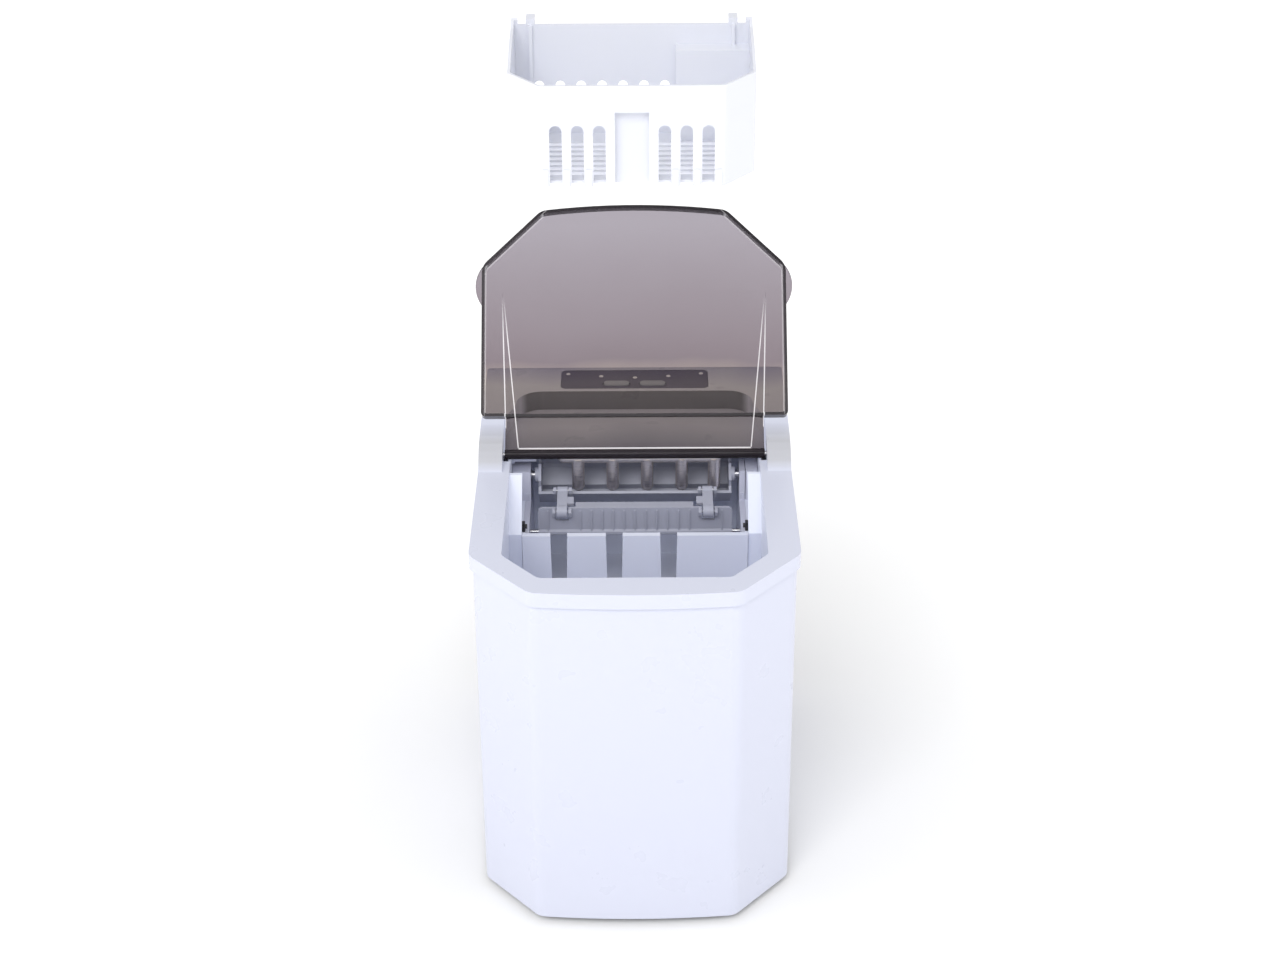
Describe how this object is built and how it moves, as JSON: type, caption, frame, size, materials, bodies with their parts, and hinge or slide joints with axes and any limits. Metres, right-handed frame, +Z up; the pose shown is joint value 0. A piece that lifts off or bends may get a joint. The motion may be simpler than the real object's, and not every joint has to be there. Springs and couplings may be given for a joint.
{
  "type": "ice maker",
  "caption": "Bench-top ice maker with a chamfered white cabinet, smoky see-through lid, lift-out slotted ice basket, tilting water tray, ice shovel and freezing fingers.",
  "frame": {"origin": "centre of the bounding box in the stored pose, at the underside of the feet", "axes": "+Z up, the front of the cabinet faces -Y, +X is to the right of a person facing the front"},
  "size_m": [0.2508, 0.3409, 0.673],
  "materials": {
    "white_gloss": "smooth glossy white moulding",
    "white_inner": "glossy white liner moulding",
    "basket_white": "slightly translucent white moulding",
    "guard_white": "satin bluish white",
    "smoke_clear": "clear smoky plastic",
    "pin_steel": "turned steel",
    "tray_grey": "satin grey moulding",
    "cheek_grey": "satin grey moulding",
    "nickel": "nickel plate with soft highlights",
    "panel_dark": "dark membrane panel",
    "key_grey": "dark key caps",
    "lens_white": "clear to milky lenses",
    "board_green": "circuit board",
    "black_rubber": "matt black rubber",
    "hose_clear": "pale flexible hose",
    "pump_black": "black moulding",
    "pan_grey": "grey moulding",
    "comp_black": "black enamel",
    "copper": "drawn copper",
    "fin_alu": "thin sheet fins",
    "valve_blue": "moulded coil",
    "foam_pale": "foam slab",
    "screw_zinc": "zinc plated"
  },
  "bodies": {
    "cabinet": {"base_pan": "pan_grey", "rubber_feet": "black_rubber", "cabinet_shell": "white_gloss", "rear_panel": "white_gloss", "rear_screws": "screw_zinc", "cord_gland": "black_rubber", "top_cover": "white_gloss", "control_panel": "panel_dark", "indicator_lenses": "lens_white", "control_board": "board_green", "inner_liner": "white_inner", "ice_guard": "guard_white", "mechanism_cheeks": "cheek_grey", "tray_gear_motor": "cheek_grey", "evaporator_tube": "nickel", "evaporator_fingers": "nickel", "evaporator_bracket": "tray_grey", "water_spout": "guard_white", "ice_level_eyes": "pump_black", "water_pump": "pump_black", "water_hose": "hose_clear", "drain_spout": "guard_white", "float_post": "guard_white", "compressor": "comp_black", "compressor_mounts": "black_rubber", "terminal_cover": "pump_black", "condenser_fins": "fin_alu", "condenser_tube": "copper", "fan_shroud": "pump_black", "fan_motor": "pin_steel", "filter_drier": "copper", "liquid_line": "copper", "capillary_line": "copper", "suction_line": "copper", "discharge_line": "copper", "hot_gas_valve": "valve_blue", "insulation_pads": "foam_pale"},
    "lid": {"lid": "smoke_clear", "lid_hinge_pins": "pin_steel"},
    "basket": {"ice_basket": "basket_white"},
    "tray": {"water_tray": "tray_grey", "tray_trunnions": "pin_steel", "link_pins": "pin_steel"},
    "links": {"shovel_links": "tray_grey"},
    "shovel": {"ice_shovel": "tray_grey", "shovel_pins": "pin_steel"},
    "power_key": {"power_key": "key_grey"},
    "select_key": {"select_key": "key_grey"},
    "fan": {"fan_blade": "pump_black"},
    "impeller": {"pump_impeller": "guard_white"},
    "drain_cap": {"drain_cap": "black_rubber"},
    "float": {"float_ring": "guard_white"}
  },
  "joints": [
    {"name": "lid_hinge", "type": "hinge", "parent": "cabinet", "child": "lid", "pos_m": [0, 0.0357, 0.3005], "axis": [1, 0, 0], "range_deg": [0, 129]},
    {"name": "basket_lift", "type": "slide", "parent": "cabinet", "child": "basket", "axis": [0, 0, 1], "range_m": [-0.405, 0]},
    {"name": "tray_tilt", "type": "hinge", "parent": "cabinet", "child": "tray", "pos_m": [0, 0.0557, 0.2715], "axis": [1, 0, 0], "range_deg": [-45, 0]},
    {"name": "link_swing", "type": "hinge", "parent": "tray", "child": "links", "pos_m": [0, 0.0367, 0.2675], "axis": [1, 0, 0], "range_deg": [0, 81]},
    {"name": "shovel_push", "type": "hinge", "parent": "cabinet", "child": "shovel", "pos_m": [0, 0.0157, 0.2425], "axis": [1, 0, 0], "range_deg": [-25.5, 0]},
    {"name": "power_press", "type": "slide", "parent": "cabinet", "child": "power_key", "axis": [0, 0, -1], "range_m": [0, 0.001], "stiffness_N_per_m": 400, "springref_m": -0.0003},
    {"name": "select_press", "type": "slide", "parent": "cabinet", "child": "select_key", "axis": [0, 0, -1], "range_m": [0, 0.001], "stiffness_N_per_m": 400, "springref_m": -0.0003},
    {"name": "fan_spin", "type": "hinge", "parent": "cabinet", "child": "fan", "pos_m": [0.0755, 0.0822, 0.08], "axis": [1, 0, 0], "continuous": true},
    {"name": "pump_spin", "type": "hinge", "parent": "cabinet", "child": "impeller", "pos_m": [0.055, -0.0963, 0.038], "axis": [0, 0, 1], "continuous": true},
    {"name": "drain_cap_pull", "type": "slide", "parent": "cabinet", "child": "drain_cap", "axis": [-1, 0, 0], "range_m": [0, 0.03]},
    {"name": "float_rise", "type": "slide", "parent": "cabinet", "child": "float", "axis": [0, 0, 1], "range_m": [0, 0.04]}
  ],
  "couplings": [
    {"joint": "link_swing", "follows": "tray_tilt", "ratio": -1.79},
    {"joint": "shovel_push", "follows": "tray_tilt", "ratio": 0.56}
  ]
}
